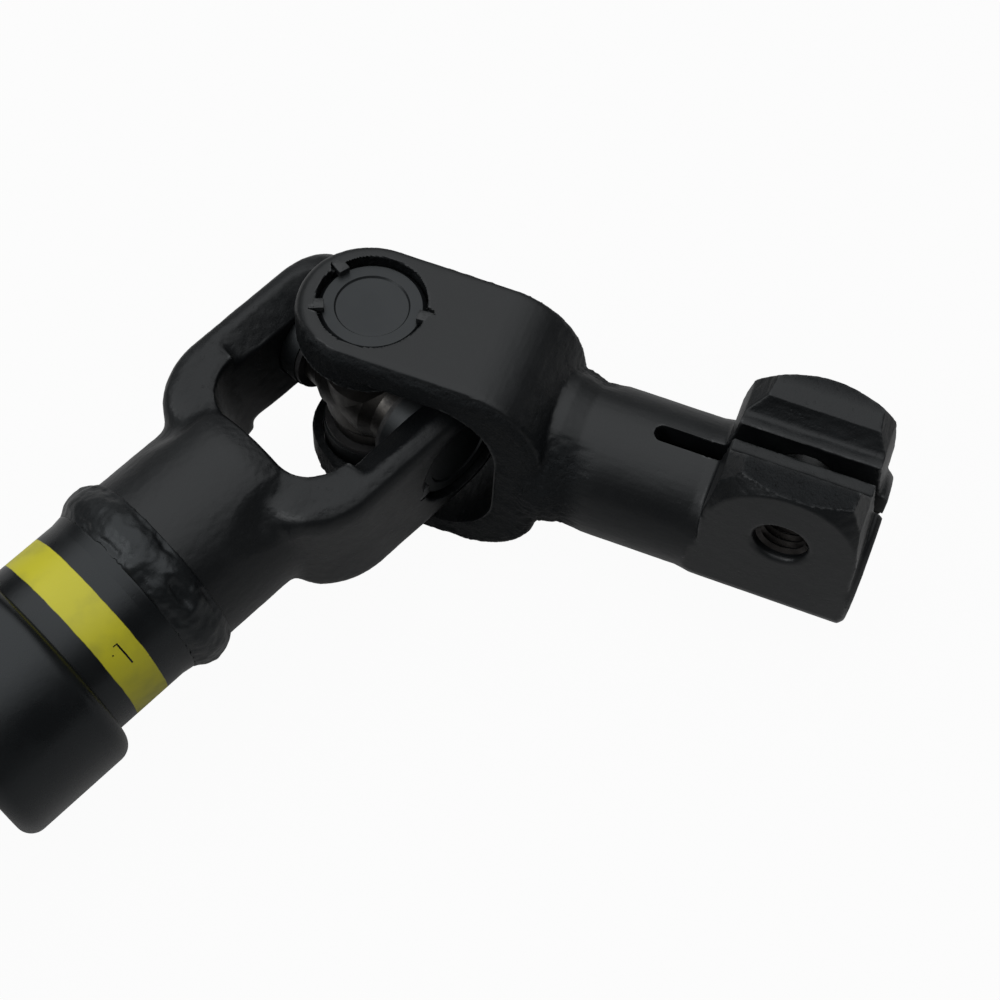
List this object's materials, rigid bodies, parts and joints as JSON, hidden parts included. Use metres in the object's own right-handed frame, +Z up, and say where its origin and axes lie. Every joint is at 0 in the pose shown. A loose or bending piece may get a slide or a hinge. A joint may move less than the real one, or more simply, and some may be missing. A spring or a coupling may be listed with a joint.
{
  "type": "intermediate steering shaft",
  "caption": "Telescopic steering shaft with a forged universal joint at each end and a slit, pinch-bolted clamp yoke for a serrated shaft.",
  "frame": {"origin": "middle of the footprint, on the surface that the shaft lies on", "axes": "+X along the tube towards the pictured joint, +Z up"},
  "size_m": [0.3888, 0.1243, 0.0553],
  "materials": {
    "coated_forging": "satin black coat on a forging",
    "coated_tube": "satin black coat on turned steel",
    "coated_cup": "satin black coat on drawn steel",
    "weld": "coated weld metal",
    "ground_steel": "ground and greased",
    "greased_steel": "rolled splines with a film of grease",
    "rubber": "moulded"
  },
  "bodies": {
    "tube": {"slip_tube": "coated_tube", "upper_tube_yoke": "coated_forging", "upper_weld_bead": "weld", "dust_cap": "coated_tube", "wiper_seal": "rubber", "upper_cup_tube_a": "coated_cup", "upper_cup_tube_b": "coated_cup", "upper_seal_tube_a": "rubber", "upper_seal_tube_b": "rubber", "upper_needles_tube_a": "ground_steel", "upper_needles_tube_b": "ground_steel"},
    "shaft": {"slip_shaft": "greased_steel", "lower_tube_yoke": "coated_forging", "lower_weld_bead": "weld", "lower_cup_tube_a": "coated_cup", "lower_cup_tube_b": "coated_cup", "lower_seal_tube_a": "rubber", "lower_seal_tube_b": "rubber", "lower_needles_tube_a": "ground_steel", "lower_needles_tube_b": "ground_steel"},
    "upper_cross": {"upper_cross": "ground_steel"},
    "upper_clamp": {"upper_clamp_yoke": "coated_forging", "upper_cup_clamp_top": "coated_cup", "upper_cup_clamp_bottom": "coated_cup", "upper_seal_clamp_top": "rubber", "upper_seal_clamp_bottom": "rubber", "upper_needles_clamp_top": "ground_steel", "upper_needles_clamp_bottom": "ground_steel"},
    "lower_cross": {"lower_cross": "ground_steel"},
    "lower_clamp": {"lower_clamp_yoke": "coated_forging", "lower_cup_clamp_top": "coated_cup", "lower_cup_clamp_bottom": "coated_cup", "lower_seal_clamp_top": "rubber", "lower_seal_clamp_bottom": "rubber", "lower_needles_clamp_top": "ground_steel", "lower_needles_clamp_bottom": "ground_steel"}
  },
  "joints": [
    {"name": "upper_tilt", "type": "hinge", "parent": "tube", "child": "upper_cross", "pos_m": [0.13899, 0.03633, 0.02857], "axis": [0, 0.9991, 0.0419], "range_deg": [-28.7, 15.3]},
    {"name": "upper_swing", "type": "hinge", "parent": "upper_cross", "child": "upper_clamp", "pos_m": [0.13899, 0.03633, 0.02857], "axis": [0.1167, -0.0416, 0.9923], "range_deg": [-1, 133]},
    {"name": "lower_tilt", "type": "hinge", "parent": "shaft", "child": "lower_cross", "pos_m": [-0.10101, 0.03633, 0.02857], "axis": [0, -0.9991, -0.0419], "range_deg": [-29, 15]},
    {"name": "lower_swing", "type": "hinge", "parent": "lower_cross", "child": "lower_clamp", "pos_m": [-0.10101, 0.03633, 0.02857], "axis": [-0.1219, -0.0416, 0.9917], "range_deg": [-99, 35]},
    {"name": "slip", "type": "slide", "parent": "tube", "child": "shaft", "axis": [-1, 0, 0], "range_m": [-0.018, 0.018]}
  ]
}
